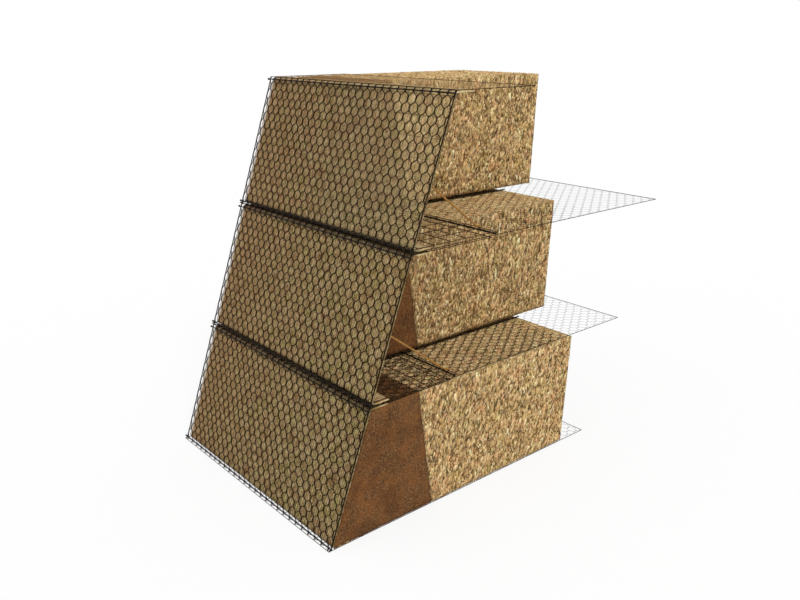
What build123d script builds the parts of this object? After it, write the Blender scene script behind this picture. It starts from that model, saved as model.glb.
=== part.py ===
from build123d import *
from math import sqrt
import os

# Reinforced soil wall: three stacked wire-faced units, one above the other in a
# continuous batter. X runs along the wall, -Y is the outer face, +Y the fill
# behind it and +Z is up. All sizes are in millimetres.

# Arrangement of the wall
TIERS = 3
LIFT = 760.0
NET_WIDTH = 1600.0
BATTER = 0.3417
FILL_DEPTH = 1930.0
TAIL_OVERHANG = 240.0
LEFT_NET_MARGIN = 17.0
CUT_BACKS = [0.0, 430.0, 850.0]

# Steel wire net, with fewer and larger cells than the real one
CELL_WIDTH = 200.0
CELL_TWIST = 93.0
CELL_RISE = 61.0
STRAND_WIDTH = 9.0
SELVEDGE_WIDTH = 12.0
NET_THICKNESS = 4.0
FLAP_DEPTH = 590.0
FOLD_REACH = 11.0

# Rods laced along the two folds of each face, drawn as bars with few sides
BAR_SIDES = 8
ROD_RADIUS = 4.5
KNOB_RADIUS = 8.0
KNOB_LENGTH = 10.0
TOE_ROD_RISE = 15.0
TOP_ROD_DROP = 16.0
ROD_CLEARANCE = 0.3

# Erosion mat behind the face net, returned into the fill at top and bottom
MAT_THICKNESS = 12.0
MAT_RETURN = 128.0
MAT_CORNER_RADIUS = 10.0

# Welded stiffening mesh: a panel behind the mat and one under the topsoil
MESH_WIRE = 8.0
MESH_COLUMNS = 6
FACE_MESH_ROWS = 3
FOOT_MESH_ROWS = 3
MESH_END_MARGIN = 5.0

# Bar at the heel of the foot mesh and the bracket that ties it to the face
FOOT_BAR_RADIUS = 6.0
FOOT_BAR_SETBACK = 620.0
BRACKET_RADIUS = 5.0
BRACKET_CLEARANCE = 0.3
BRACKET_BEND_RADIUS = 25.0
BRACKET_HOOK_RADIUS = 8.0
BRACKET_FACE_HEIGHT = 357.0
BRACKET_FACE_LEG = 175.0
BRACKET_FOOT_LEG = 24.0
BRACKET_HOOK_REACH = 22.0
BRACKET_HOOK_DROP = 16.0
BRACKET_FROM_RIGHT = {2: 65.0, 3: 132.0}

# Soil bodies of each tier
TOPSOIL_BASE_DEPTH = 740.0
TOPSOIL_TOP_DEPTH = 605.0
UNDERCUT_HEIGHT = 25.0
UNDERCUT_DEPTH = 40.0

# Sizes worked out from those above
SLANT = sqrt(1 + BATTER**2)
SETBACK = BATTER * LIFT
TAIL_DEPTH = FILL_DEPTH + TAIL_OVERHANG
HALF_WIDTH = NET_WIDTH / 2
SOIL_LEFT = LEFT_NET_MARGIN - HALF_WIDTH
FRONT_TOE_Y = -((TIERS - 1) * SETBACK + TAIL_DEPTH - FOLD_REACH) / 2
NET_FRONT = ROD_RADIUS + ROD_CLEARANCE
MAT_FRONT = NET_FRONT + NET_THICKNESS
MESH_FRONT = MAT_FRONT + MAT_THICKNESS
SOIL_FRONT = MESH_FRONT + MESH_WIRE
NET_TOP = LIFT - NET_THICKNESS
MAT_FLOOR = NET_THICKNESS + MAT_THICKNESS
MAT_CEILING = NET_TOP - MAT_THICKNESS
MESH_TOP = MAT_FLOOR + MESH_WIRE
ROW_PITCH = CELL_TWIST + CELL_RISE


def toe_y(tier):
    return FRONT_TOE_Y + (tier - 1) * SETBACK


def base_z(tier):
    return (tier - 1) * LIFT


def face_y(z, behind):
    """Distance from the toe rod of a point at height z, so far behind the rod line."""
    return BATTER * (z - TOE_ROD_RISE) + behind * SLANT


FLAP_END = face_y(NET_TOP, NET_FRONT) + FLAP_DEPTH
MAT_FLOOR_END = face_y(NET_THICKNESS, MAT_FRONT) + MAT_RETURN
MAT_CEILING_END = face_y(NET_TOP, MAT_FRONT) + MAT_RETURN
HEEL = FOOT_BAR_SETBACK + FOOT_BAR_RADIUS


def section_plane(tier, x):
    """Plane across the wall at x, measured from the tier's toe rod and base."""
    return Plane(origin=(x, toe_y(tier), base_z(tier)), x_dir=(0, 1, 0), z_dir=(1, 0, 0))


def level_plane(tier, z):
    """Level plane at a height in the tier, measured from its toe rod."""
    return Plane(origin=(0, toe_y(tier), base_z(tier) + z), x_dir=(1, 0, 0), z_dir=(0, 0, 1))


def face_plane(tier, behind):
    """Plane along the battered face, so far behind the rod line, facing out."""
    origin = (0, toe_y(tier) + face_y(0, behind), base_z(tier))
    return Plane(origin=origin, x_dir=(1, 0, 0), z_dir=(0, -1 / SLANT, BATTER / SLANT))


def soil_right(tier):
    return HALF_WIDTH - CUT_BACKS[tier - 1]


# Wire nets

def cell_points():
    """Corners of the open space in one hexagonal cell, about its centre."""
    lean = CELL_RISE / (CELL_WIDTH / 2)
    half_width = (CELL_WIDTH - STRAND_WIDTH) / 2
    apex = CELL_TWIST / 2 + CELL_RISE - STRAND_WIDTH / 2 * sqrt(1 + lean**2)
    shoulder = apex - lean * half_width
    return [
        (half_width, -shoulder),
        (half_width, shoulder),
        (0, apex),
        (-half_width, shoulder),
        (-half_width, -shoulder),
        (0, -apex),
    ]


def cell_centres(near, far):
    """Centres of the cells that reach between near and far, each row staggered by half a cell."""
    columns = int(HALF_WIDTH / CELL_WIDTH) + 1
    first_row = int(near / ROW_PITCH)
    last_row = int(far / ROW_PITCH) + 1
    centres = []
    for row in range(first_row, last_row + 1):
        stagger = CELL_WIDTH / 2 * (row % 2)
        for column in range(-columns, columns + 1):
            centres.append((column * CELL_WIDTH + stagger, row * ROW_PITCH))
    return centres


def net_sketch(plane, near, far, windows):
    """Net from near to far, with cells open inside windows (left, right, near, far)."""
    with BuildSketch() as clear_area:
        for left, right, low, high in windows:
            with Locations(((left + right) / 2, (low + high) / 2)):
                Rectangle(right - left, high - low)
    with BuildSketch() as openings:
        with Locations(*cell_centres(near, far)):
            Polygon(*cell_points())
        add(clear_area.sketch, mode=Mode.INTERSECT)
    with BuildSketch(plane) as net:
        with Locations((0, (near + far) / 2)):
            Rectangle(NET_WIDTH, far - near)
        add(openings.sketch, mode=Mode.SUBTRACT)
    return net.sketch


def trim_level(tier, low, high):
    """Keep what lies between two heights of a tier, so that a battered piece ends level."""
    with Locations((0, toe_y(tier) + SETBACK / 2, base_z(tier) + (low + high) / 2)):
        Box(2 * NET_WIDTH, 2 * LIFT, high - low, mode=Mode.INTERSECT)


def make_base_net(tier):
    """Base and tail of a unit, from the toe fold: open where no fill covers it."""
    clear_near = face_y(0, NET_FRONT) + SELVEDGE_WIDTH
    clear_right = HALF_WIDTH - SELVEDGE_WIDTH
    clear_far = TAIL_DEPTH - SELVEDGE_WIDTH
    windows = [(-clear_right, clear_right, FILL_DEPTH, clear_far)]
    if CUT_BACKS[tier - 1] > 0:
        windows.append((soil_right(tier), clear_right, clear_near, clear_far))
    plane = level_plane(tier, 0)
    with BuildPart() as base_net:
        extrude(net_sketch(plane, -FOLD_REACH, TAIL_DEPTH, windows), amount=NET_THICKNESS)
    return base_net


def make_face_net(tier):
    """Battered face of a unit, open all over, from the base net up to the flap net."""
    foot = NET_THICKNESS * SLANT
    head = NET_TOP * SLANT
    clear_right = HALF_WIDTH - SELVEDGE_WIDTH
    windows = [(-clear_right, clear_right, foot + SELVEDGE_WIDTH, head - SELVEDGE_WIDTH)]
    plane = face_plane(tier, NET_FRONT)
    with BuildPart() as face_net:
        extrude(
            net_sketch(plane, foot - NET_THICKNESS, head + NET_THICKNESS, windows),
            amount=-NET_THICKNESS,
        )
        trim_level(tier, NET_THICKNESS, NET_TOP)
    return face_net


def make_flap_net(tier):
    """Flap folded back over the fill: open where the tier above doesn't cover it."""
    near = face_y(NET_TOP, NET_FRONT)
    clear_right = HALF_WIDTH - SELVEDGE_WIDTH
    clear_left = -clear_right
    if tier < TIERS:
        clear_left = soil_right(tier + 1)
    windows = [(clear_left, clear_right, near + SELVEDGE_WIDTH, FLAP_END - SELVEDGE_WIDTH)]
    with BuildPart() as flap_net:
        extrude(net_sketch(level_plane(tier, NET_TOP), near, FLAP_END, windows), amount=NET_THICKNESS)
    return flap_net


# Rods and bars along the wall

def make_rod(tier, height):
    """Fold rod with a turned-over knob at each end, past the edges of the net."""
    centre = (face_y(height, 0), height)
    with BuildPart() as rod:
        with BuildSketch(section_plane(tier, -HALF_WIDTH)):
            with Locations(centre):
                RegularPolygon(ROD_RADIUS, BAR_SIDES)
        extrude(amount=NET_WIDTH)
        for x in (-HALF_WIDTH - KNOB_LENGTH, HALF_WIDTH):
            with BuildSketch(section_plane(tier, x)):
                with Locations(centre):
                    RegularPolygon(KNOB_RADIUS, BAR_SIDES)
            extrude(amount=KNOB_LENGTH)
    return rod


def make_foot_bar(tier):
    """Bar on the base net under the heel of the foot mesh, with its flats up and down."""
    left = SOIL_LEFT + MESH_END_MARGIN
    right = HALF_WIDTH - MESH_END_MARGIN
    flats_level = 180 / BAR_SIDES
    with BuildPart() as foot_bar:
        with BuildSketch(section_plane(tier, left)):
            with Locations((FOOT_BAR_SETBACK, NET_THICKNESS + FOOT_BAR_RADIUS)):
                RegularPolygon(FOOT_BAR_RADIUS, BAR_SIDES, major_radius=False, rotation=flats_level)
        extrude(amount=right - left)
    return foot_bar


# Welded mesh panels

def mesh_sketch(plane, near, far, rows):
    """Grid of square wires between near and far, over the length of the fill."""
    left = SOIL_LEFT + MESH_END_MARGIN
    right = HALF_WIDTH - MESH_END_MARGIN
    column_pitch = (right - left - MESH_WIRE) / MESH_COLUMNS
    row_pitch = (far - near - MESH_WIRE) / rows
    with BuildSketch(plane) as mesh:
        with Locations(((left + right) / 2, (near + far) / 2)):
            Rectangle(right - left, far - near)
            with GridLocations(column_pitch, row_pitch, MESH_COLUMNS, rows):
                Rectangle(column_pitch - MESH_WIRE, row_pitch - MESH_WIRE, mode=Mode.SUBTRACT)
    return mesh.sketch


def make_face_mesh(tier):
    """Panel that stands on the foot mesh, against the back of the mat."""
    foot = MESH_TOP * SLANT
    head = MAT_CEILING * SLANT
    plane = face_plane(tier, MESH_FRONT)
    with BuildPart() as face_mesh:
        extrude(
            mesh_sketch(plane, foot - MESH_WIRE, head + MESH_WIRE, FACE_MESH_ROWS),
            amount=-MESH_WIRE,
        )
        trim_level(tier, MESH_TOP, MAT_CEILING)
    return face_mesh


def make_foot_mesh(tier):
    """Level panel on the mat's return and the foot bar."""
    near = face_y(MESH_TOP, MESH_FRONT)
    with BuildPart() as foot_mesh:
        extrude(mesh_sketch(level_plane(tier, MAT_FLOOR), near, HEEL, FOOT_MESH_ROWS), amount=MESH_WIRE)
    return foot_mesh


def make_bracket(tier):
    """Bent bar: a leg up the face mesh, a strut down to the heel, and a hook over the foot bar."""
    behind = SOIL_FRONT + BRACKET_CLEARANCE + BRACKET_RADIUS
    foot_height = MESH_TOP + BRACKET_CLEARANCE + BRACKET_RADIUS
    leg_height = BRACKET_FACE_HEIGHT + BRACKET_FACE_LEG
    hook = HEEL + BRACKET_HOOK_REACH
    with BuildPart() as bracket:
        with BuildLine(section_plane(tier, HALF_WIDTH - BRACKET_FROM_RIGHT[tier])) as path:
            FilletPolyline(
                (face_y(leg_height, behind), leg_height),
                (face_y(BRACKET_FACE_HEIGHT, behind), BRACKET_FACE_HEIGHT),
                (FOOT_BAR_SETBACK - BRACKET_FOOT_LEG, foot_height),
                (hook, foot_height),
                (hook, foot_height - BRACKET_HOOK_DROP),
                radius=[BRACKET_BEND_RADIUS, BRACKET_BEND_RADIUS, BRACKET_HOOK_RADIUS],
            )
        with BuildSketch(Plane(origin=path.line @ 0, z_dir=path.line % 0)):
            RegularPolygon(BRACKET_RADIUS, BAR_SIDES)
        sweep(path=path.line)
    return bracket


# Mat and soil bodies

def make_mat(tier):
    """Erosion mat: up the back of the face net, with a return at the floor and the ceiling."""
    with BuildPart() as mat:
        with BuildSketch(section_plane(tier, SOIL_LEFT)) as profile:
            with BuildLine():
                Polyline(
                    (MAT_FLOOR_END, NET_THICKNESS),
                    (face_y(NET_THICKNESS, MAT_FRONT), NET_THICKNESS),
                    (face_y(NET_TOP, MAT_FRONT), NET_TOP),
                    (MAT_CEILING_END, NET_TOP),
                    (MAT_CEILING_END, MAT_CEILING),
                    (face_y(MAT_CEILING, MESH_FRONT), MAT_CEILING),
                    (face_y(MAT_FLOOR, MESH_FRONT), MAT_FLOOR),
                    (MAT_FLOOR_END, MAT_FLOOR),
                    close=True,
                )
            make_face()
            toe_corner = profile.vertices().sort_by(Axis.X)[0]
            top_corner = profile.vertices().group_by(Axis.Y)[-1].sort_by(Axis.X)[0]
            fillet([toe_corner, top_corner], radius=MAT_CORNER_RADIUS)
        extrude(amount=HALF_WIDTH - SOIL_LEFT)
    return mat


def cut_undercut(tier):
    """Loose soil fallen from under the cut end of an upper tier."""
    if CUT_BACKS[tier - 1] > 0:
        centre_z = base_z(tier) + NET_THICKNESS + UNDERCUT_HEIGHT / 2
        centre_y = toe_y(tier) + FILL_DEPTH / 2
        with Locations((soil_right(tier) - UNDERCUT_DEPTH / 2, centre_y, centre_z)):
            Box(UNDERCUT_DEPTH, 2 * FILL_DEPTH, UNDERCUT_HEIGHT, mode=Mode.SUBTRACT)


def make_topsoil(tier):
    """Vegetated soil wedge behind the mat, shaped round the mesh, the mat and the flap."""
    with BuildPart() as topsoil:
        with BuildSketch(section_plane(tier, SOIL_LEFT)):
            with BuildLine():
                Polyline(
                    (face_y(MESH_TOP, SOIL_FRONT), MESH_TOP),
                    (HEEL, MESH_TOP),
                    (HEEL, NET_THICKNESS),
                    (TOPSOIL_BASE_DEPTH, NET_THICKNESS),
                    (TOPSOIL_TOP_DEPTH, NET_TOP),
                    (MAT_CEILING_END, NET_TOP),
                    (MAT_CEILING_END, MAT_CEILING),
                    (face_y(MAT_CEILING, SOIL_FRONT), MAT_CEILING),
                    close=True,
                )
            make_face()
        extrude(amount=soil_right(tier) - SOIL_LEFT)
        cut_undercut(tier)
    return topsoil


def make_backfill(tier):
    """Stony fill behind the topsoil, stepped down under the flap net."""
    with BuildPart() as backfill:
        with BuildSketch(section_plane(tier, SOIL_LEFT)):
            with BuildLine():
                Polyline(
                    (TOPSOIL_BASE_DEPTH, NET_THICKNESS),
                    (FILL_DEPTH, NET_THICKNESS),
                    (FILL_DEPTH, LIFT),
                    (FLAP_END, LIFT),
                    (FLAP_END, NET_TOP),
                    (TOPSOIL_TOP_DEPTH, NET_TOP),
                    close=True,
                )
            make_face()
        extrude(amount=soil_right(tier) - SOIL_LEFT)
        cut_undercut(tier)
    return backfill


# Write every piece of every tier

os.makedirs("parts", exist_ok=True)
for tier in range(1, TIERS + 1):
    pieces = {
        "base_net": make_base_net(tier),
        "face_net": make_face_net(tier),
        "flap_net": make_flap_net(tier),
        "toe_rod": make_rod(tier, TOE_ROD_RISE),
        "top_rod": make_rod(tier, LIFT - TOP_ROD_DROP),
        "erosion_mat": make_mat(tier),
        "face_mesh": make_face_mesh(tier),
        "foot_mesh": make_foot_mesh(tier),
        "foot_bar": make_foot_bar(tier),
        "topsoil": make_topsoil(tier),
        "backfill": make_backfill(tier),
    }
    if tier in BRACKET_FROM_RIGHT:
        pieces["bracket"] = make_bracket(tier)
    for name, piece in pieces.items():
        piece.part.label = f"{name}_{tier}"
        export_step(piece.part, f"parts/{name}_{tier}.step")
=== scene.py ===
import math
from collections import namedtuple

import bpy
import numpy as np
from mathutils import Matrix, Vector, noise


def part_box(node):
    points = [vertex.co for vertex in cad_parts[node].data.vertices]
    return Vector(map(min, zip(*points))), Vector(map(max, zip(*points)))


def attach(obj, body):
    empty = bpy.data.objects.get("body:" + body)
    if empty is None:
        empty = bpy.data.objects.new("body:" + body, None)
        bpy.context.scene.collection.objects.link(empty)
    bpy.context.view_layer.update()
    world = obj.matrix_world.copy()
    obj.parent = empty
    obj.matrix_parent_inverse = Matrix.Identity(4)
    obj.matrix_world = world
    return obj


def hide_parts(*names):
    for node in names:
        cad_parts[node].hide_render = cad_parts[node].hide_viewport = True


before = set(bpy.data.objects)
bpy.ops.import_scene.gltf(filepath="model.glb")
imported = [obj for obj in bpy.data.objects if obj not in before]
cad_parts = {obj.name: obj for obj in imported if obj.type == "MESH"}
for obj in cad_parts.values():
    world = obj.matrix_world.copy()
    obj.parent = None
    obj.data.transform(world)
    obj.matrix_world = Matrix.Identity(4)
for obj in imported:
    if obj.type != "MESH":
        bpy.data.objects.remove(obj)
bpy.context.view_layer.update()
rng = np.random.default_rng(41)

# Arrangement of the wall, in metres
TIERS = (1, 2, 3)
LIFT = 0.760
BATTER = 0.3417
SLANT = math.sqrt(1 + BATTER**2)
STEP_BACK = BATTER * LIFT
HALF_WIDTH = 0.800
SOIL_LEFT = -0.783
CUT_BACKS = {1: 0.0, 2: 0.430, 3: 0.850}
FILL_DEPTH = 1.930
TAIL_DEPTH = 2.170
FLAP_DEPTH = 0.590
TOE_ROD_RISE = 0.015
TOP_ROD_HEIGHT = 0.744
# Depth of the topsoil at base and top
EARTH_BASE = 0.740
EARTH_TOP = 0.605
FOOT_BAR_DEPTH = 0.620
BRACKET_FROM_RIGHT = {2: 0.065, 3: 0.132}

# Layers behind the rod line of a face, and above the base of a tier
NET_BEHIND = 0.0088
MAT_FRONT_BEHIND = 0.0122
MAT_BACK_BEHIND = 0.0202
SOIL_BEHIND = 0.0255
BASE_NET_Z = 0.0045
FLAP_NET_Z = 0.7560
SOIL_BASE = 0.008
SOIL_TOP = 0.7545
FOLD_TIP_Y = -0.0066

# Where the flap and the mat's returns are measured from, and how far the returns reach
FLAP_START_BEHIND = 0.0048
MAT_FLOOR_START = 0.004
MAT_RETURN = 0.128

# Double-twist net: cell across, twisted length, parted length and the pitch of its rows
CELL = 0.060
TWIST = 0.028
RISE = 0.0184
ROW = TWIST + RISE
ROW_START = -0.008
EDGE_U = 0.797
LAST_COLUMN = 13

TOE_Y = {t: (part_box(f"toe_rod_{t}")[0].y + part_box(f"toe_rod_{t}")[1].y) / 2 for t in TIERS}


def base_z(tier):
    return (tier - 1) * LIFT


def soil_right(tier):
    return HALF_WIDTH - CUT_BACKS[tier]


def face_y(z, behind):
    """Depth of a point that lies square behind the rod line, at a height over the tier's base."""
    return BATTER * (z - TOE_ROD_RISE) + behind * SLANT


def in_tier(tier, x, y, z):
    """A point given from the toe rod's line and the base of a tier."""
    return (x, TOE_Y[tier] + y, base_z(tier) + z)


FLAP_END = face_y(FLAP_NET_Z, FLAP_START_BEHIND) + FLAP_DEPTH
MAT_FLOOR_END = face_y(MAT_FLOOR_START, NET_BEHIND) + MAT_RETURN
MAT_CEILING_END = face_y(FLAP_NET_Z, NET_BEHIND) + MAT_RETURN


# Mesh building

def build_object(name, vertices, quads, triangles=(), smooth=True):
    quads = np.asarray(quads, int)
    triangles = np.asarray(triangles, int).reshape(-1, 3)
    mesh = bpy.data.meshes.new(name)
    mesh.vertices.add(len(vertices))
    mesh.vertices.foreach_set("co", np.asarray(vertices, np.float32).ravel())
    corners = np.concatenate([quads.ravel(), triangles.ravel()]).astype(np.int32)
    starts = np.append(np.arange(len(quads)) * 4, quads.size + np.arange(len(triangles)) * 3)
    mesh.loops.add(len(corners))
    mesh.loops.foreach_set("vertex_index", corners)
    mesh.polygons.add(len(starts))
    mesh.polygons.foreach_set("loop_start", starts.astype(np.int32))
    mesh.update(calc_edges=True)
    if smooth:
        mesh.shade_smooth()
    return placed(name, mesh)


def placed(name, data):
    """A new object with the data, in the scene."""
    made = bpy.data.objects.new(name, data)
    bpy.context.scene.collection.objects.link(made)
    return made


def unit(vectors):
    return vectors / np.maximum(np.linalg.norm(vectors, axis=-1, keepdims=True), 1e-12)


def tubes(paths, radius, sides, across, flat=1.0):
    """Closed tubes along paths (count, points, 3); flat thins them along across, never a path's way."""
    paths = np.asarray(paths, float)
    count, points = paths.shape[:2]
    tangents = unit(np.gradient(paths, axis=1))
    across = np.broadcast_to(np.asarray(across, float), paths.shape)
    side = unit(np.cross(tangents, across))
    up = np.cross(side, tangents)
    angles = 2 * np.pi * (np.arange(sides) + 0.5) / sides
    ring = (flat * np.cos(angles)[:, None] * up[:, :, None, :]
            + np.sin(angles)[:, None] * side[:, :, None, :])
    radius = np.broadcast_to(radius, (count, points))
    vertices = (paths[:, :, None, :] + radius[:, :, None, None] * ring).reshape(-1, 3)
    index = np.arange(count * points * sides).reshape(count, points, sides)
    turned = np.roll(index, -1, axis=2)
    quads = np.stack([index[:, :-1], turned[:, :-1], turned[:, 1:], index[:, 1:]], axis=-1).reshape(-1, 4)
    fan = np.stack([np.zeros(sides - 2, int), np.arange(1, sides - 1), np.arange(2, sides)], axis=-1)
    first = index[:, 0][:, fan][:, :, ::-1].reshape(-1, 3)
    last = index[:, -1][:, fan].reshape(-1, 3)
    return vertices, quads, np.concatenate([first, last])


def joined(parts):
    """One set of vertices, quads and triangles from several."""
    vertices = []
    quads = []
    triangles = []
    offset = 0
    for points, fours, threes in parts:
        vertices.append(points)
        quads.append(fours + offset)
        triangles.append(threes + offset)
        offset += len(points)
    return np.concatenate(vertices), np.concatenate(quads), np.concatenate(triangles)


def add_piece(name, shape, finish, slot, *nodes, smooth=True):
    """A finished piece in place of nodes of the frame, or in addition to them."""
    piece = build_object(name, *shape, smooth=smooth)
    piece.data.materials.append(finish)
    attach(piece, "root")
    if nodes:
        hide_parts(*nodes)
    return piece


# Profile of the wrapped net, from tail end round the toe fold, up the face and back along the flap

PROFILE_STEP = 0.001
NET_SMOOTHING = 7
END_MARGIN = 0.004
TIP_REACH = 0.0026
FOLD_INSIDE = (0.0085, 0.0095)
FACE_START = 0.022
FACE_END = 0.7568
FLAP_BEND = 0.012


def lengths_along(points):
    steps = np.linalg.norm(np.diff(points, axis=0), axis=1)
    return np.concatenate([[0], np.cumsum(steps)])


def smoothed_profile(points, window):
    """Evenly spaced points along a path, each the mean of a window of them; both ends stay sharp."""
    points = np.asarray(points, float)
    lengths = lengths_along(points)
    steps = np.linspace(0, lengths[-1], int(lengths[-1] / PROFILE_STEP) + 1)
    fine = np.stack([np.interp(steps, lengths, points[:, i]) for i in range(2)], axis=-1)
    half = window // 2
    padded = np.concatenate([np.repeat(fine[:1], half, 0), fine, np.repeat(fine[-1:], half, 0)])
    kernel = np.ones(window) / window
    soft = np.stack([np.convolve(padded[:, i], kernel, "valid") for i in range(2)], axis=-1)
    soft[:half] = fine[:half]
    soft[-half:] = fine[-half:]
    return soft


NET_PROFILE = smoothed_profile([
    (TAIL_DEPTH - END_MARGIN, BASE_NET_Z),
    (FOLD_TIP_Y - TIP_REACH, BASE_NET_Z),
    FOLD_INSIDE,
    (face_y(FACE_START, NET_BEHIND), FACE_START),
    (face_y(FACE_END, NET_BEHIND), FACE_END),
    (face_y(FLAP_NET_Z, NET_BEHIND) + FLAP_BEND, FLAP_NET_Z),
    (FLAP_END - END_MARGIN, FLAP_NET_Z),
], NET_SMOOTHING)
PROFILE_LENGTH = lengths_along(NET_PROFILE)
TOE_INDEX = int(np.argmin(NET_PROFILE[:, 0]))
TOP_INDEX = TOE_INDEX + int(np.argmax(NET_PROFILE[TOE_INDEX:, 1]))
PROFILE_V = PROFILE_LENGTH - PROFILE_LENGTH[TOE_INDEX]
V_TOP = PROFILE_V[TOP_INDEX]
V_TAIL = PROFILE_V[0]
V_FLAP = PROFILE_V[-1]
PROFILE_DIRECTION = unit(np.gradient(NET_PROFILE, axis=0))


def on_profile(u, v, w, tier):
    """Points of the net's sheet in the frame, with the sheet's outward direction.

    u runs along the wall, v along the profile from the toe fold, and w out of the sheet.
    """
    y = np.interp(v, PROFILE_V, NET_PROFILE[:, 0])
    z = np.interp(v, PROFILE_V, NET_PROFILE[:, 1])
    dy = np.interp(v, PROFILE_V, PROFILE_DIRECTION[:, 0])
    dz = np.interp(v, PROFILE_V, PROFILE_DIRECTION[:, 1])
    outward = np.stack([np.zeros_like(dy), -dz, dy], axis=-1)
    points = np.stack([u, y + TOE_Y[tier], z + base_z(tier)], axis=-1)
    return points + outward * np.asarray(w)[..., None], outward


# Wires of the nets

ROWS = range(math.floor((V_TAIL - ROW_START) / ROW) + 1, math.floor((V_FLAP - ROW_START) / ROW))
ALL_COLUMNS = range(-LAST_COLUMN, LAST_COLUMN + 1)
FACE_ROWS = [i for i in ROWS if 0 <= i and ROW_START + ROW * i < V_TOP]
BASE_ROWS = [i for i in ROWS if i < 0]
FLAP_ROWS = [i for i in ROWS if i > FACE_ROWS[-1]]

# Radius that a wire winds round a selvedge, and the span in which the face wires slim to the toe
SELVEDGE_REACH = 0.0030
SLIM_SPAN = (0.002, 0.030)
PRESS_MARGIN = 0.0002

# Point spacing along a wire, and along one longer than a limit
SHORT_STEP = 0.004
LONG_STEP = 0.012
LONG_WIRE = 1.2


def net_wires(tier, rows, columns, turns, steps, radius, offset, ends,
              at_selvedge=SELVEDGE_REACH, flat=1.0, slim_toe=1.0):
    """Hexagonal net: pairs of wires twisted together in each row, then parting to the next.

    turns and steps are those of one twist, offset is the radius that a pair winds on, and ends says
    where the wires run on. slim_toe is the share of their radius that is left at the toe.
    """
    rows = np.asarray(rows)
    wires = [(k, side) for k in columns for side in (1, -1)]
    column = np.array([k for k, _ in wires])[:, None]
    side = np.array([s for _, s in wires])[:, None]
    odd = (rows % 2)[None, :]
    centre = CELL * (column + 0.5 * side * odd)
    phase = np.pi * ((odd + (side < 0)) % 2)
    lean = np.where(phase > 0, -1.0, 1.0)
    at_edge = np.abs(centre) > EDGE_U
    centre = np.clip(centre, -EDGE_U, EDGE_U)
    reach = np.where(at_edge, at_selvedge, offset)
    t = np.linspace(0, 1, steps + 1)[None, None, :]
    angle = phase[:, :, None] + 2 * np.pi * turns * t
    u = centre[:, :, None] + reach[:, :, None] * np.cos(angle)
    w = reach[:, :, None] * np.sin(angle)
    v = (ROW_START + ROW * rows)[None, :, None] + TWIST * t + 0 * u
    u, v, w = (a.reshape(len(wires), -1) for a in (u, v, w))
    if "low" in ends:
        gap = v[:, :1] - max(V_TAIL, v[0, 0] - RISE)
        shift = lean[:, :1] * CELL / 2 * gap / RISE
        u = np.hstack([np.clip(u[:, :1] + shift, -EDGE_U, EDGE_U), u])
        v = np.hstack([v[:, :1] - gap, v])
        w = np.hstack([w[:, :1], w])
    if "high" in ends:
        gap = min(V_FLAP, v[0, -1] + RISE) - v[:, -1:]
        shift = lean[:, -1:] * CELL / 2 * gap / RISE
        u = np.hstack([u, np.clip(u[:, -1:] + shift, -EDGE_U, EDGE_U)])
        v = np.hstack([v, v[:, -1:] + gap])
        w = np.hstack([w, w[:, -1:]])
    points, outward = on_profile(u, v, w * flat, tier)
    slimmed = radius * np.interp(v, SLIM_SPAN, (slim_toe, 1.0))
    return tubes(kept_in_lift(points, radius, tier), slimmed, 4, outward, flat)


def kept_in_lift(points, radius, tier):
    """Wires pressed flat where they would pass under a tier's base or over its top."""
    low = base_z(tier) + radius + PRESS_MARGIN
    high = base_z(tier) + LIFT - radius - PRESS_MARGIN
    points[..., 2] = np.clip(points[..., 2], low, high)
    return points


def edge_wire(tier, u, v_from, v_to, radius, sides=8):
    """One wire along the profile."""
    step = SHORT_STEP if abs(v_to - v_from) < LONG_WIRE else LONG_STEP
    v = np.append(np.arange(v_from, v_to, step), v_to)
    points, outward = on_profile(np.full_like(v, u), v, np.zeros_like(v), tier)
    return tubes(kept_in_lift(points, radius, tier)[None], radius, sides, outward[None])


def cross_wire(tier, v, u_from, u_to, radius):
    """One wire along the wall."""
    u = np.linspace(u_from, u_to, 20)
    points, outward = on_profile(u, np.full_like(u, v), np.zeros_like(u), tier)
    return tubes(points[None], radius, 8, outward[None])


def twist_places(row):
    """Where the twisted pairs of a row lie along the wall."""
    places = [CELL * (k + (row % 2) / 2) for k in ALL_COLUMNS]
    return [x for x in places if abs(x) < EDGE_U]


def columns_from(x):
    """Columns of the net from just left of a place."""
    return [k for k in ALL_COLUMNS if k * CELL >= x - 0.75 * CELL]


def rows_behind(depth):
    """Base rows that lie farther back than a depth."""
    return [i for i in BASE_ROWS if FOLD_TIP_Y - (ROW_START + ROW * i) > depth]


# Radius of each wire, and of the circle that a twisted pair winds on
FACE_WIRE = 0.0024
FACE_OFFSET = 0.0019
BASE_WIRE = {1: 0.0016, 2: 0.0029, 3: 0.0016}
TAIL_WIRE = 0.0012
TAIL_OFFSET = 0.0011
FLAP_WIRE = {1: 0.0017, 2: 0.00135, 3: 0.00135}
FLAP_OFFSET = 0.0012
FACE_SELVEDGE = 0.0044
FACE_LEFT_WIRE = 0.0032
FACE_RIGHT_WIRE = 0.0038
TIE_WIRE = 0.0021
TIE_END_WIRE = 0.0019
BASE_EDGE_WIRE = 0.0018
FLAP_EDGE_WIRE = 0.0020
CUT_SHADOW_WIRE = 0.0040

# Share of a face wire's radius that is left at the toe
TOE_SLIMNESS = 0.55
# How far the ties of the top rod reach down the face and back over the flap
TIE_DROP = 0.016
TIE_REACH = 0.022
# How far before the fill's back a base net shows over its whole width, and where its strip starts
BASE_SHOWN = {1: 0.02, 2: 0.32, 3: 0.32}
STRIP_LEFT = 0.74
# Black wire under a cut end of soil, put in for the shadow line there, from the lower tier's back to near the
# toe
CUT_FROM = FOLD_TIP_Y - FILL_DEPTH + STEP_BACK
CUT_TO = -0.030
CUT_INSET = 0.003


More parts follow.
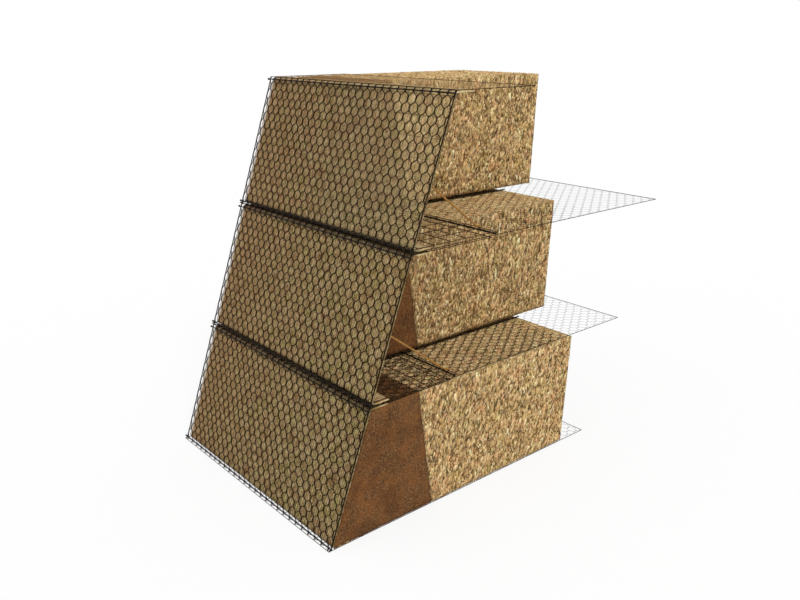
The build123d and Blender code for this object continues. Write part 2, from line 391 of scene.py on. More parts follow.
def face_net(tier):
    parts = [
        net_wires(tier, FACE_ROWS, ALL_COLUMNS, 2, 7, FACE_WIRE, FACE_OFFSET, ("low", "high"),
                  at_selvedge=FACE_SELVEDGE, slim_toe=TOE_SLIMNESS),
        edge_wire(tier, -EDGE_U, 0, V_TOP, FACE_LEFT_WIRE),
        edge_wire(tier, EDGE_U, 0, V_TOP, FACE_RIGHT_WIRE),
        cross_wire(tier, V_TOP + TIE_REACH, -EDGE_U, EDGE_U, TIE_END_WIRE),
    ]
    for x in twist_places(FACE_ROWS[-1]):
        parts.append(edge_wire(tier, x, V_TOP - TIE_DROP, V_TOP + TIE_REACH, TIE_WIRE, 4))
    return joined(parts)


def base_net(tier):
    """The base net where it shows: its tail over the whole width, and a strip at the right end."""
    back = rows_behind(FILL_DEPTH - BASE_SHOWN[tier])
    front = [i for i in BASE_ROWS if i > back[-1]]
    strip = columns_from(min(soil_right(tier), STRIP_LEFT))
    wire = BASE_WIRE[tier]
    parts = [
        net_wires(tier, back, ALL_COLUMNS, 1, 4, TAIL_WIRE, TAIL_OFFSET, ("low", "high"), flat=0.25),
        net_wires(tier, front, strip, 1, 4, wire, wire, ("high",), flat=0.2),
    ]
    parts += [edge_wire(tier, u, V_TAIL, 0, BASE_EDGE_WIRE) for u in (-EDGE_U, EDGE_U)]
    parts += [cross_wire(tier, v, -EDGE_U, EDGE_U, BASE_EDGE_WIRE) for v in (V_TAIL, 0)]
    # A black wire put in for the shadow line under the soil's cut end
    if tier > 1:
        parts.append(edge_wire(tier, soil_right(tier) - CUT_INSET, CUT_FROM, CUT_TO, CUT_SHADOW_WIRE))
    return joined(parts)


def flap_columns(tier):
    return ALL_COLUMNS if tier == 3 else columns_from(soil_right(tier + 1))


def flap_net(tier):
    return net_wires(tier, FLAP_ROWS, flap_columns(tier), 1, 4, FLAP_WIRE[tier], FLAP_OFFSET, ("low", "high"),
                     flat=0.5)


def flap_edge(tier):
    """Thicker wires along the sides and the end of a flap."""
    left = flap_columns(tier)[0] * CELL if tier < 3 else -EDGE_U
    parts = [
        edge_wire(tier, EDGE_U, V_TOP, V_FLAP, FLAP_EDGE_WIRE),
        cross_wire(tier, V_FLAP, left, EDGE_U, FLAP_EDGE_WIRE),
    ]
    if tier == 3:
        parts.append(edge_wire(tier, -EDGE_U, V_TOP, V_FLAP, FLAP_EDGE_WIRE))
    return joined(parts)


# Rods with their lacing rings and coiled ends, foot bars and brackets

ROD_RADIUS = 0.0036
ROD_OVERHANG = 0.0098
# How far up and back the toe rod lies from the middle of its solid
TOE_ROD_SHIFT = 0.0028
LACING_WIRE = 0.0014
RING_RADIUS = 0.0052
RING_REACH = 0.0014
COIL_RADIUS = 0.0050
COIL_START = 0.0005
COIL_END = 0.0080
BAR_RADIUS = 0.0052
BAR_Z = 0.0105
BAR_INSET = 0.005

# Bracket: heights and distance behind the rod line on the slope, then depths and heights of its hook
BRACKET_RADIUS = 0.0052
BRACKET_SLOPE = (0.532, 0.357)
BRACKET_BEHIND = 0.0341
BRACKET_HOOK = ((0.606, 0.0293), (0.634, 0.0293), (0.634, 0.0153))
BRACKET_BENDS = (0.025, 0.025, 0.008)


def level_bar(x_from, x_to, y, z, radius):
    """Round bar along the wall."""
    x = np.linspace(x_from, x_to, 12)
    path = np.stack([x, np.full_like(x, y), np.full_like(x, z)], axis=-1)
    return tubes([path], radius, 12, (0, 0, 1))


def helix(centre, radius, x_from, x_to, turns, steps, phase=0.0):
    """Winding about a line along the wall; centre is (y, z), and steps are those of one turn."""
    t = np.linspace(0, 1, steps * turns + 1)
    angle = phase + 2 * np.pi * turns * t
    return np.stack([
        x_from + (x_to - x_from) * t,
        centre[0] + radius * np.cos(angle),
        centre[1] + radius * np.sin(angle),
    ], axis=-1)


def fold_rod(tier, height, shift, row):
    """Rod in a fold of the net, laced where the twisted pairs of a row meet it."""
    y = TOE_Y[tier] + face_y(height, 0) + shift
    z = base_z(tier) + height + shift
    rod_end = HALF_WIDTH + ROD_OVERHANG
    rings = []
    for x in twist_places(row):
        start = rng.uniform(0, 6)
        rings.append(helix((y, z), RING_RADIUS, x - RING_REACH, x + RING_REACH, 1, 14, start))
    parts = [level_bar(-rod_end, rod_end, y, z, ROD_RADIUS), tubes(rings, LACING_WIRE, 4, (1, 0, 0))]
    for side in (-1, 1):
        start = side * (HALF_WIDTH + COIL_START)
        end = side * (HALF_WIDTH + COIL_END)
        parts.append(tubes([helix((y, z), COIL_RADIUS, start, end, 3, 12)], LACING_WIRE, 6, (1, 0, 0)))
    return joined(parts)


def foot_bar(tier):
    return level_bar(SOIL_LEFT + BAR_INSET, HALF_WIDTH - BAR_INSET, TOE_Y[tier] + FOOT_BAR_DEPTH,
                     base_z(tier) + BAR_Z, BAR_RADIUS)


def rounded_path(points, radii, steps=6):
    """Path through points with an arc of the given radius at each inner one."""
    points = [np.asarray(p, float) for p in points]
    path = [points[0]]
    for before, corner, after, radius in zip(points, points[1:], points[2:], radii):
        a = unit(before - corner)
        b = unit(after - corner)
        half = math.acos(float(np.clip(a @ b, -1, 1))) / 2
        centre = corner + unit(a + b) * radius / math.sin(half)
        first = corner + a * radius / math.tan(half) - centre
        last = corner + b * radius / math.tan(half) - centre
        sweep = math.acos(float(np.clip(unit(first) @ unit(last), -1, 1)))
        for t in np.linspace(0, 1, steps):
            arm = math.sin((1 - t) * sweep) * first + math.sin(t * sweep) * last
            path.append(centre + arm / math.sin(sweep))
    path.append(points[-1])
    return np.array(path)


def bracket(tier):
    x = HALF_WIDTH - BRACKET_FROM_RIGHT[tier]
    corners = [(face_y(z, BRACKET_BEHIND), z) for z in BRACKET_SLOPE] + list(BRACKET_HOOK)
    path = rounded_path([in_tier(tier, x, y, z) for y, z in corners], BRACKET_BENDS)
    return tubes([path], BRACKET_RADIUS, 10, (1, 0, 0))


# Welded meshes of round wires: ends of the level wires, then places of the wires that cross them

MESH_WIRE = 0.0024
MESH_ENDS = (SOIL_LEFT + 0.008, HALF_WIDTH - 0.008)
MESH_XS = np.linspace(MESH_ENDS[0] + 0.004, MESH_ENDS[1] - 0.004, 15)
FACE_MESH_Z = (0.026, 0.740)
FACE_LEVELS_Z = np.linspace(0.038, 0.728, 8)
FACE_LEVELS_BEHIND = 0.0240
FACE_UPRIGHTS_BEHIND = 0.0282
FOOT_MESH_Y = (0.034, 0.6255)
FOOT_LEVELS_Y = np.linspace(0.046, 0.6195, 6)
FOOT_LEVELS_Z = 0.0228
FOOT_LONG_Z = 0.0186


def straight(starts, ends):
    """Straight paths from each start to its end."""
    t = np.linspace(0, 1, 7)[None, :, None]
    a = np.asarray(starts)[:, None, :]
    b = np.asarray(ends)[:, None, :]
    return a + (b - a) * t


def welded(level, crossing, across):
    """Level wires and those that cross them, each as starts and ends."""
    return joined([
        tubes(straight(*level), MESH_WIRE, 6, (0, 0, 1)),
        tubes(straight(*crossing), MESH_WIRE, 6, across),
    ])


def face_mesh(tier):
    level = [[in_tier(tier, x, face_y(z, FACE_LEVELS_BEHIND), z) for z in FACE_LEVELS_Z] for x in MESH_ENDS]
    upright = [[in_tier(tier, x, face_y(z, FACE_UPRIGHTS_BEHIND), z) for x in MESH_XS] for z in FACE_MESH_Z]
    return welded(level, upright, (1, 0, 0))


def foot_mesh(tier):
    level = [[in_tier(tier, x, y, FOOT_LEVELS_Z) for y in FOOT_LEVELS_Y] for x in MESH_ENDS]
    long = [[in_tier(tier, x, y, FOOT_LONG_Z) for x in MESH_XS] for y in FOOT_MESH_Y]
    return welded(level, long, (0, 0, 1))


# Erosion mat

# Width and unfolded length: floor return 0.106, bend 0.014, face 0.766 and ceiling return 0.123
# How far the bend between floor return and face cuts off their corner, each way
MAT_BEND = 0.012
MAT_FLOOR_Z = 0.0115
MAT_CEILING_Z = 0.7485
MAT_SMOOTHING = 19
MAT_STEP = 0.030
# One row of the mat for so many points of the smoothed profile
MAT_STRIDE = 15
# Lumps and broad waves, how close together and how high, and the ragged ends
LUMP_SCALE = 26
WAVE_SCALE = 5
LUMP_HEIGHT = 0.0013
WAVE_HEIGHT = 0.0009
END_INSET = 0.002
END_RAGGEDNESS = 0.003


def erosion_mat(tier):
    """Bumpy sheet of filaments, up the back of the net with a return at floor and ceiling."""
    middle = (MAT_FRONT_BEHIND + MAT_BACK_BEHIND) / 2
    thick = MAT_BACK_BEHIND - MAT_FRONT_BEHIND
    bend_z = MAT_FLOOR_Z + MAT_BEND
    profile = smoothed_profile([
        (MAT_FLOOR_END, MAT_FLOOR_Z),
        (face_y(MAT_FLOOR_Z, middle) + MAT_BEND, MAT_FLOOR_Z),
        (face_y(bend_z, middle), bend_z),
        (face_y(MAT_CEILING_Z, middle), MAT_CEILING_Z),
        (MAT_CEILING_END, MAT_CEILING_Z),
    ], MAT_SMOOTHING)[::MAT_STRIDE]
    direction = unit(np.gradient(profile, axis=0))
    normal = np.stack([-direction[:, 1], direction[:, 0]], axis=-1)
    outer = profile + normal * thick / 2
    inner = profile - normal * thick / 2
    loop = np.concatenate([outer, inner[::-1]])
    way = np.concatenate([normal, -normal[::-1]])
    x = np.linspace(SOIL_LEFT, HALF_WIDTH, int((HALF_WIDTH - SOIL_LEFT) / MAT_STEP) + 1)
    count = len(x)
    size = len(loop)
    grid = np.zeros((count, size, 3))
    for i, xi in enumerate(x):
        for j, (y, z) in enumerate(loop):
            lump = noise.noise(Vector((xi * LUMP_SCALE, y * LUMP_SCALE + 7 * tier, z * LUMP_SCALE)))
            wave = noise.noise(Vector((xi * WAVE_SCALE, y * WAVE_SCALE, z * WAVE_SCALE + 3 * tier)))
            out = LUMP_HEIGHT * lump + WAVE_HEIGHT * wave
            inset = 0
            if i in (0, count - 1):
                inset = END_INSET - END_RAGGEDNESS * noise.noise(Vector((j * 0.6, tier, i * 0.1)))
            along = xi - inset if i else xi + inset
            grid[i, j] = in_tier(tier, along, y + way[j, 0] * out, z + way[j, 1] * out)
    index = np.arange(count * size).reshape(count, size)
    turned = np.roll(index, -1, axis=1)
    quads = [np.stack([index[:-1], index[1:], turned[1:], turned[:-1]], axis=-1).reshape(-1, 4)]
    a = np.arange(size // 2 - 1)
    b = size - 1 - a
    for row, flip in ((0, False), (count - 1, True)):
        cap = np.stack([index[row, a], index[row, a + 1], index[row, b - 1], index[row, b]], axis=-1)
        quads.append(cap[:, ::-1] if flip else cap)
    return grid.reshape(-1, 3), np.concatenate(quads)


# Soil bodies: blocks of four-cornered section with rough surfaces

SOIL_FRONT_LOW = 0.012
SOIL_FRONT_HIGH = 0.744
SOIL_FRONT_TOP = 0.7435
# Rise of the lower edge of a cut end, and the distances from the end between which it starts
UNDERCUTS = {1: 0.0, 2: 0.010, 3: 0.010}
UNDERCUT_INNER = 0.080
UNDERCUT_OUTER = 0.073
UNDERCUT_POINTS = (UNDERCUT_OUTER, 0.048, 0.024, 0)
# Fine and broad roughness: how close together, their shares, and how deep the mean lies
FINE_SCALE = 38
BROAD_SCALE = 9
FINE_SHARE = 0.6
BROAD_SHARE = 0.4
MEAN_SINK = 0.7


def soil_block(tier, section, step, rough):
    """Closed rough block; section is (y, z) in its tier at base front, base back, top back and top front."""
    base_front, base_back, top_back, top_front = (np.array(in_tier(tier, 0, y, z)[1:]) for y, z in section)
    right = soil_right(tier)
    inner = right - UNDERCUT_INNER
    xs = np.linspace(SOIL_LEFT, inner, round((inner - SOIL_LEFT) / step))
    xs = np.append(xs, right - np.array(UNDERCUT_POINTS))
    nx = len(xs) - 1
    ny = max(2, round((base_back[0] - base_front[0]) / step))
    nz = max(2, round((top_back[1] - base_back[1]) / step))
    shape = (nx + 1, ny + 1, nz + 1)
    i, j, k = np.meshgrid(*(np.arange(n) for n in shape), indexing="ij")
    skin = (i == 0) | (i == nx) | (j == 0) | (j == ny) | (k == 0) | (k == nz)
    ids = np.full(shape, -1)
    ids[skin] = np.arange(skin.sum())
    b = (j[skin] / ny)[:, None]
    c = (k[skin] / nz)[:, None]
    yz = (1 - c) * ((1 - b) * base_front + b * base_back) + c * ((1 - b) * top_front + b * top_back)
    points = np.hstack([xs[i[skin]][:, None], yz])
    share = np.clip((points[:, 0] - inner) / (UNDERCUT_INNER - UNDERCUT_OUTER), 0, 1)
    low = base_front[1]
    high = top_back[1]
    points[:, 2] += UNDERCUTS[tier] * share * (1 - (points[:, 2] - low) / (high - low))
    faces = []
    for axis, size in enumerate((nx, ny, nz)):
        for end in (0, size):
            plane = np.take(ids, end, axis=axis)
            quad = np.stack([plane[:-1, :-1], plane[1:, :-1], plane[1:, 1:], plane[:-1, 1:]], axis=-1)
            quad = quad.reshape(-1, 4)
            outward = (end > 0) != (axis == 1)
            faces.append(quad if outward else quad[:, ::-1])
    quads = np.concatenate(faces)
    corner = points[quads]
    face_normal = unit(np.cross(corner[:, 2] - corner[:, 0], corner[:, 3] - corner[:, 1]))
    normal = np.zeros_like(points)
    for n in range(4):
        np.add.at(normal, quads[:, n], face_normal)
    normal = unit(normal)
    for n, p in enumerate(points):
        fine = noise.noise(Vector(p) * FINE_SCALE)
        broad = noise.noise(Vector(p) * BROAD_SCALE + Vector((5, 1, 2)))
        points[n] = p + normal[n] * rough * (FINE_SHARE * fine + BROAD_SHARE * broad - MEAN_SINK)
    return points, quads


def boundary_y(z):
    """Depth of the line between topsoil and backfill at a height over the tier's base."""
    return EARTH_BASE + (EARTH_TOP - EARTH_BASE) * z / SOIL_TOP


# Section, grid step and roughness of each block
TOPSOIL_BLOCK = ([
    (face_y(SOIL_FRONT_LOW, SOIL_BEHIND), SOIL_BASE),
    (boundary_y(SOIL_BASE), SOIL_BASE),
    (EARTH_TOP, SOIL_TOP),
    (face_y(SOIL_FRONT_HIGH, SOIL_BEHIND), SOIL_FRONT_TOP),
], 0.027, 0.0030)
BACKFILL_BLOCK = ([
    (boundary_y(SOIL_BASE), SOIL_BASE),
    (FILL_DEPTH, SOIL_BASE),
    (FILL_DEPTH, SOIL_TOP),
    (EARTH_TOP, SOIL_TOP),
], 0.030, 0.0040)


# Stones, chips and crumbs half sunk in the surfaces; shapes are in half lengths

STONE = (np.array([
    (-0.72, -0.80, -0.75), (0.72, -0.80, -0.75), (0.72, 0.80, -0.75), (-0.72, 0.80, -0.75),
    (-0.60, -0.74, 0.80), (0.60, -0.74, 0.80), (0.60, 0.74, 0.80), (-0.60, 0.74, 0.80),
]), np.array([
    (0, 2, 1), (0, 3, 2), (4, 5, 6), (4, 6, 7), (0, 1, 5), (0, 5, 4),
    (1, 2, 6), (1, 6, 5), (2, 3, 7), (2, 7, 6), (3, 0, 4), (3, 4, 7),
]))
CHIP = (np.array([(1, 0, 0), (-1, 0, 0), (0, 1, 0), (0, -1, 0), (0, 0, 1), (0, 0, -1)], float), np.array([
    (0, 2, 4), (2, 1, 4), (1, 3, 4), (3, 0, 4), (2, 0, 5), (1, 2, 5), (3, 1, 5), (0, 3, 5),
]))

# Spread of sizes and leans, how far a lump's corners wander, and how deep its middle lies
SIZE_SPREAD = 0.48
SMALLEST_SHARE = 0.4
UPRIGHT_LEAN = 0.15
LEAN_SPREAD = 0.3
DENT = 0.22
NUDGE = 0.16
MOST_PROUD = 0.9
SINK = 1.15

# Insets of the lumpy patches from the soil's edges, and how far their lumps stand out
PATCH_BASE = 0.014
PATCH_TOP_INSET = 0.006
PATCH_FRONT = 0.03
PATCH_MAT_GAP = 0.005
BARE_OVERLAP = 0.03
CRUMB_PROUD = 0.002
STONE_PROUD = 0.0055
TOP_PROUD = 0.0022
UNDERSIDE_PROUD = 0.002
UNDERSIDE_Z = 0.0105
UNDERSIDE_INSET = 0.09
# Share by which the stones of each tier's top are painted paler: painted light against the shade of the nets
# and the tiers above
TOP_PAINTED_LIGHT = {1: 0.45, 2: 0.22, 3: 0.0}


# A flat piece of surface that lumps lie in, seen in the main view or not
Patch = namedtuple("Patch", "corner edge_a edge_b outward seen proud keep paler", defaults=(None, 0.0))


def lumps(patches, solid, seen_density, other_density, median, largest, slim):
    """Closed deformed solids over patches, and a random tint for each; sizes are half lengths."""
    shape_points, shape_faces = solid
    corners = len(shape_points)
    parts = []
    tints = []
    for patch in patches:
        corner, edge_a, edge_b, outward = (np.array(p, float) for p in patch[:4])
        area = np.linalg.norm(np.cross(edge_a, edge_b))
        count = int(area * (seen_density if patch.seen else other_density))
        size = np.clip(rng.lognormal(math.log(median), SIZE_SPREAD, count), median * SMALLEST_SHARE, largest)
        a, b = rng.random((2, count))
        a = np.clip(a, size / np.linalg.norm(edge_a), 1 - size / np.linalg.norm(edge_a))
        b = np.clip(b, size / np.linalg.norm(edge_b), 1 - size / np.linalg.norm(edge_b))
        centre = corner + a[:, None] * edge_a + b[:, None] * edge_b
        level = abs(outward[2]) > 0.5
        spin = rng.uniform(-1.57, 1.57, count) if level else rng.normal(UPRIGHT_LEAN, LEAN_SPREAD, count)
        width = rng.uniform(slim, slim + (0.35 if level else 0.2), count)
        flat = rng.uniform(0.30, 0.5, count)
        dents = 1 + rng.uniform(-DENT, DENT, (count, corners, 1))
        nudge = rng.uniform(-NUDGE, NUDGE, (count, corners, 3))
        # Stones of a lower tier's top are painted paler, painted light against the shade over them
        tint = patch.paler + (1 - patch.paler) * rng.random(count)
        if patch.keep is not None:
            kept = patch.keep(centre, size)
            centre, size, spin, width, flat, tint = (v[kept] for v in (centre, size, spin, width, flat, tint))
            dents = dents[kept]
            nudge = nudge[kept]
        across = unit(edge_a)
        along = unit(edge_b)
        long_way = np.cos(spin)[:, None] * along + np.sin(spin)[:, None] * across
        wide_way = -np.sin(spin)[:, None] * along + np.cos(spin)[:, None] * across
        half_thick = size * flat
        rise = np.minimum(patch.proud, MOST_PROUD * half_thick)
        centre = centre + (rise - SINK * half_thick)[:, None] * outward
        shape = shape_points[None] * dents + nudge
        points = (centre[:, None]
                  + shape[..., :1] * (size * width)[:, None, None] * wide_way[:, None]
                  + shape[..., 1:2] * size[:, None, None] * long_way[:, None]
                  + shape[..., 2:] * half_thick[:, None, None] * outward)
        right_handed = np.linalg.det(np.stack([across, along, outward])) > 0
        faces = shape_faces if right_handed else shape_faces[:, ::-1]
        index = np.arange(len(size))[:, None, None] * corners + faces[None]
        parts.append((points.reshape(-1, 3), np.zeros((0, 4), int), index.reshape(-1, 3)))
        tints.append(np.repeat(tint, corners))
    return joined(parts), np.concatenate(tints)


def soil_patches(tier, of_topsoil):
    """Ends, bare top, back and underside of a tier's topsoil or backfill."""
    left = SOIL_LEFT
    right = soil_right(tier)
    y0 = TOE_Y[tier]
    z0 = base_z(tier)
    low = z0 + PATCH_BASE
    high = z0 + SOIL_TOP - PATCH_TOP_INSET
    low_right = low + UNDERCUTS[tier]
    bare_left = left if tier == 3 else soil_right(tier + 1) - BARE_OVERLAP

    def in_topsoil(points, size):
        y = points[:, 1] - y0
        z = points[:, 2] - z0
        return (y > face_y(z, SOIL_BEHIND) + size) & (y < boundary_y(z) - 0.5 * size)

    def in_backfill(points, size):
        return points[:, 1] - y0 > boundary_y(points[:, 2] - z0) + 0.5 * size

    if of_topsoil:
        keep = in_topsoil
        near = PATCH_FRONT
        far = EARTH_BASE
        top_near = MAT_CEILING_END + PATCH_MAT_GAP
        top_far = EARTH_TOP
        end_proud = CRUMB_PROUD
        paler = 0.0
    else:
        keep = in_backfill
        near = top_near = EARTH_TOP
        far = top_far = FILL_DEPTH
        end_proud = STONE_PROUD
        paler = TOP_PAINTED_LIGHT[tier]
    deep = far - near
    patches = [
        Patch((right, y0 + near, low_right), (0, deep, 0), (0, 0, high - low_right), (1, 0, 0), True,
              end_proud, keep),
        Patch((left, y0 + near, low), (0, deep, 0), (0, 0, high - low), (-1, 0, 0), False, end_proud, keep),
        Patch((bare_left, y0 + top_near, z0 + SOIL_TOP), (right - bare_left, 0, 0),
              (0, top_far - top_near, 0), (0, 0, 1), True, TOP_PROUD, paler=paler),
    ]
    if not of_topsoil:
        patches.append(Patch((left, y0 + far, low), (right - left, 0, 0), (0, 0, high - low), (0, 1, 0),
                             False, end_proud))
        if tier > 1:
            overhang = TOE_Y[2] - TOE_Y[1]
            corner = (left, y0 + far - overhang, z0 + UNDERSIDE_Z)
            patches.append(Patch(corner, (right - left - UNDERSIDE_INSET, 0, 0), (0, overhang, 0),
                                 (0, 0, -1), False, UNDERSIDE_PROUD))
    return patches


# Materials

def srgb(*levels):
    """Linear colour, with its alpha, from levels of 0 to 255."""
    shares = [level / 255 for level in levels]
    return tuple(s / 12.92 if s <= 0.04045 else ((s + 0.055) / 1.055) ** 2.4 for s in shares) + (1.0,)


WHITE = (255, 255, 255)
BLACK = (0, 0, 0)


class Finish:
    """A procedural material, in metres of the frame."""

    def __init__(self, name):
        self.material = bpy.data.materials.new(name)
        self.material.use_nodes = True
        self.tree = self.material.node_tree
        self.tree.nodes.clear()
        self.surface = self.node("BsdfPrincipled")
        output = self.node("OutputMaterial")
        self.tree.links.new(self.surface.outputs[0], output.inputs["Surface"])
        self.place = self.node("TexCoord").outputs["Object"]

    def node(self, kind):
        return self.tree.nodes.new("ShaderNode" + kind)

    def put(self, socket, value):
        if isinstance(value, bpy.types.NodeSocket):
            self.tree.links.new(value, socket)
        else:
            socket.default_value = value

    def math(self, operation, *values, clamp=False):
        node = self.node("Math")
        node.operation = operation
        node.use_clamp = clamp
        for socket, value in zip(node.inputs, values):
            self.put(socket, value)
        return node.outputs[0]

    def plus(self, a, b, clamp=False):
        return self.math("ADD", a, b, clamp=clamp)

    def minus(self, a, b, clamp=False):
        return self.math("SUBTRACT", a, b, clamp=clamp)

    def times(self, a, b, clamp=False):
        return self.math("MULTIPLY", a, b, clamp=clamp)

    def vector_math(self, operation, a, b):
        node = self.node("VectorMath")
        node.operation = operation
        self.put(node.inputs[0], a)
        self.put(node.inputs[1], b)
        return node.outputs[0]

    def component(self, vector, letter):
        node = self.node("SeparateXYZ")
        self.put(node.inputs[0], vector)
        return node.outputs[letter]

    def axis(self, letter):
        return self.component(self.place, letter)

    def leaning(self, share):
        """Coordinates in which an upright streak leans back by the share of its height."""
        lean = self.node("CombineXYZ")
        self.put(lean.inputs[1], self.times(self.axis("Z"), -share))
        return self.vector_math("ADD", self.place, lean.outputs[0])

    def levelness(self):
        """1 on level surfaces, 0 on upright ones."""
        return self.math("ABSOLUTE", self.component(self.node("NewGeometry").outputs["Normal"], "Z"))

    def parted(self, colour):
        """First channel of a colour, as a random value."""
        node = self.node("SeparateColor")
        self.put(node.inputs[0], colour)
        return node.outputs[0]

    def tint(self):
        """The random value that each stone, chip or crumb carries."""
        node = self.node("Attribute")
        node.attribute_name = "tint"
        return node.outputs["Fac"]

    def noise(self, scale, detail=4.0, roughness=0.55, distortion=0.0):
        node = self.node("TexNoise")
        self.put(node.inputs["Vector"], self.place)
        node.inputs["Scale"].default_value = scale
        node.inputs["Detail"].default_value = detail
        node.inputs["Roughness"].default_value = roughness
        node.inputs["Distortion"].default_value = distortion
        return node.outputs["Fac"]

    def cells(self, scale, vector):
        node = self.node("TexVoronoi")
        self.put(node.inputs["Vector"], vector)
        node.inputs["Scale"].default_value = scale
        return node

    def ramp(self, value, *stops):
        """Colours between stops, each a position and three levels of 0 to 255."""
        node = self.node("ValToRGB")
        elements = node.color_ramp.elements
        while len(elements) < len(stops):
            elements.new(0.5)
        for element, (position, *levels) in zip(elements, stops):
            element.position = position
            element.color = srgb(*levels)
        self.put(node.inputs[0], value)
        return node.outputs["Color"]

    def mix(self, share, a, b, blend="MIX"):
        node = self.node("Mix")
        node.data_type = "RGBA"
        node.blend_type = blend
        sockets = [s for s in node.inputs if s.enabled]
        for socket, value in zip(sockets, (share, a, b)):
            self.put(socket, value)
        return [s for s in node.outputs if s.enabled][0]

    def tinged(self, colour, tinge, share=1.0):
        """A colour multiplied by a share of another."""
        return self.mix(share, colour, tinge, "MULTIPLY")

    def bump(self, height, strength, distance):
        node = self.node("Bump")
        node.inputs["Strength"].default_value = strength
        node.inputs["Distance"].default_value = distance
        self.put(node.inputs["Height"], height)
        return node.outputs["Normal"]

    def set(self, **values):
        names = {"colour": "Base Color", "roughness": "Roughness", "metallic": "Metallic", "normal": "Normal",
                 "alpha": "Alpha", "specular": "Specular IOR Level"}
        for key, value in values.items():
            self.put(self.surface.inputs[names[key]], value)
        return self.material


def hue_patches(f):
    """Broad drifts of pinkish and olive soil colour, with darker clusters."""
    drift = f.noise(11, 3, 0.6, 0.4)
    hue = f.ramp(drift, (0.34, 255, 241, 232), (0.47, *WHITE), (0.64, 247, 248, 232))
    cluster = f.ramp(f.noise(30, 4, 0.75), (0.36, 198, 187, 168), (0.52, *WHITE))
    return f.tinged(hue, cluster)


def backfill_finish():
    """Fine stones of many browns, longer than wide and leaning on upright surfaces, with painted shade
    between them that is fainter on level tops.
    """
    f = Finish("stony_backfill")
    upright = f.vector_math("MULTIPLY", f.leaning(0.25), (1.0, 1.0, 0.36))
    coarse = f.cells(85, upright)
    fine = f.cells(240, upright)
    big = f.ramp(f.parted(coarse.outputs["Color"]), (0.0, 116, 90, 54), (0.22, 188, 156, 104),
                 (0.5, 224, 188, 134), (0.7, 232, 202, 146), (0.8, 222, 178, 134), (0.92, 246, 224, 176),
                 (1.0, 255, 246, 212))
    small = f.ramp(f.parted(fine.outputs["Color"]), (0.0, 90, 70, 42), (0.3, 184, 150, 98),
                   (0.6, 228, 196, 138), (0.85, 242, 210, 158), (1.0, 255, 238, 194))
    # Painted shade in the crevices between stones, made fainter on level surfaces so the shaded tops read
    # lighter
    gap = f.ramp(coarse.outputs["Distance"], (0.3, *WHITE), (0.75, 92, 68, 42))
    crevice_shade_share = f.math("MULTIPLY_ADD", f.levelness(), -0.6, 0.85)
    colour = f.tinged(f.mix(0.45, big, small), gap, crevice_shade_share)
    colour = f.tinged(colour, hue_patches(f))
    height = f.plus(f.times(coarse.outputs["Distance"], -1.0), f.noise(420, 3))
    return f.set(colour=colour, roughness=0.93, specular=0.2, normal=f.bump(height, 0.9, 0.005))


def stone_finish():
    f = Finish("backfill_stone")
    colour = f.ramp(f.tint(), (0.0, 96, 76, 46), (0.14, 172, 142, 92), (0.32, 216, 184, 128),
                    (0.5, 236, 200, 146), (0.64, 228, 183, 138), (0.72, 228, 206, 150),
                    (0.9, 248, 222, 174), (0.96, 255, 238, 190), (1.0, 255, 250, 206))
    mottled = f.ramp(f.noise(230, 4), (0.3, 208, 196, 174), (0.6, *WHITE))
    colour = f.tinged(f.tinged(colour, mottled), hue_patches(f))
    return f.set(colour=colour, roughness=0.85, specular=0.3, normal=f.bump(f.noise(600, 3), 0.35, 0.0015))


def topsoil_colour(f):
    """Fine brown grain with rusty and damp drifts; returns the colour and the grain."""
    grain = f.noise(105, 6, 0.85)
    colour = f.ramp(grain, (0.36, 46, 30, 17), (0.5, 97, 66, 39), (0.64, 152, 112, 70))
    warm = f.ramp(f.noise(13, 3, 0.55), (0.42, *BLACK), (0.66, *WHITE))
    damp = f.ramp(f.noise(6, 3, 0.6), (0.36, 226, 221, 217), (0.56, *WHITE))
    colour = f.mix(f.times(f.parted(warm), 0.4), colour, srgb(136, 84, 40))
    return f.tinged(colour, damp), grain


def topsoil_finish():
    f = Finish("topsoil")
    colour, grain = topsoil_colour(f)
    return f.set(colour=colour, roughness=0.96, specular=0.12, normal=f.bump(grain, 0.7, 0.003))


def crumb_finish():
    f = Finish("topsoil_crumb")
    shade = f.parted(f.ramp(f.tint(), (0.0, *BLACK), (1.0, *WHITE)))
    colour, grain = topsoil_colour(f)
    colour = f.mix(f.times(shade, 0.3), colour, srgb(168, 124, 84))
    return f.set(colour=colour, roughness=0.95, specular=0.12, normal=f.bump(grain, 0.5, 0.002))


def behind_face(f):
    """Level distance behind the plane of the faces."""
    plane = f.math("MULTIPLY_ADD", f.axis("Z"), BATTER, TOE_Y[1])
    return f.minus(f.axis("Y"), plane)


def past_the_soil(f):
    """1 where the top tier's soil is cut back from behind the face, else 0."""
    past = f.times(f.minus(f.axis("X"), soil_right(3)), 30.0, clamp=True)
    return f.times(past, f.math("GREATER_THAN", f.axis("Z"), base_z(3)))


# Strokes of the mat's ribs along the wall, where on a lift its folds are doubled, and where they carry
# painted shade at the floor and the painted shadow of the tier above at the ceiling
STROKE_PITCH = 0.0155
DOUBLED_FROM_MIDDLE = 0.476
FLOOR_FOLD = 0.024
CEILING_FOLD = 0.974


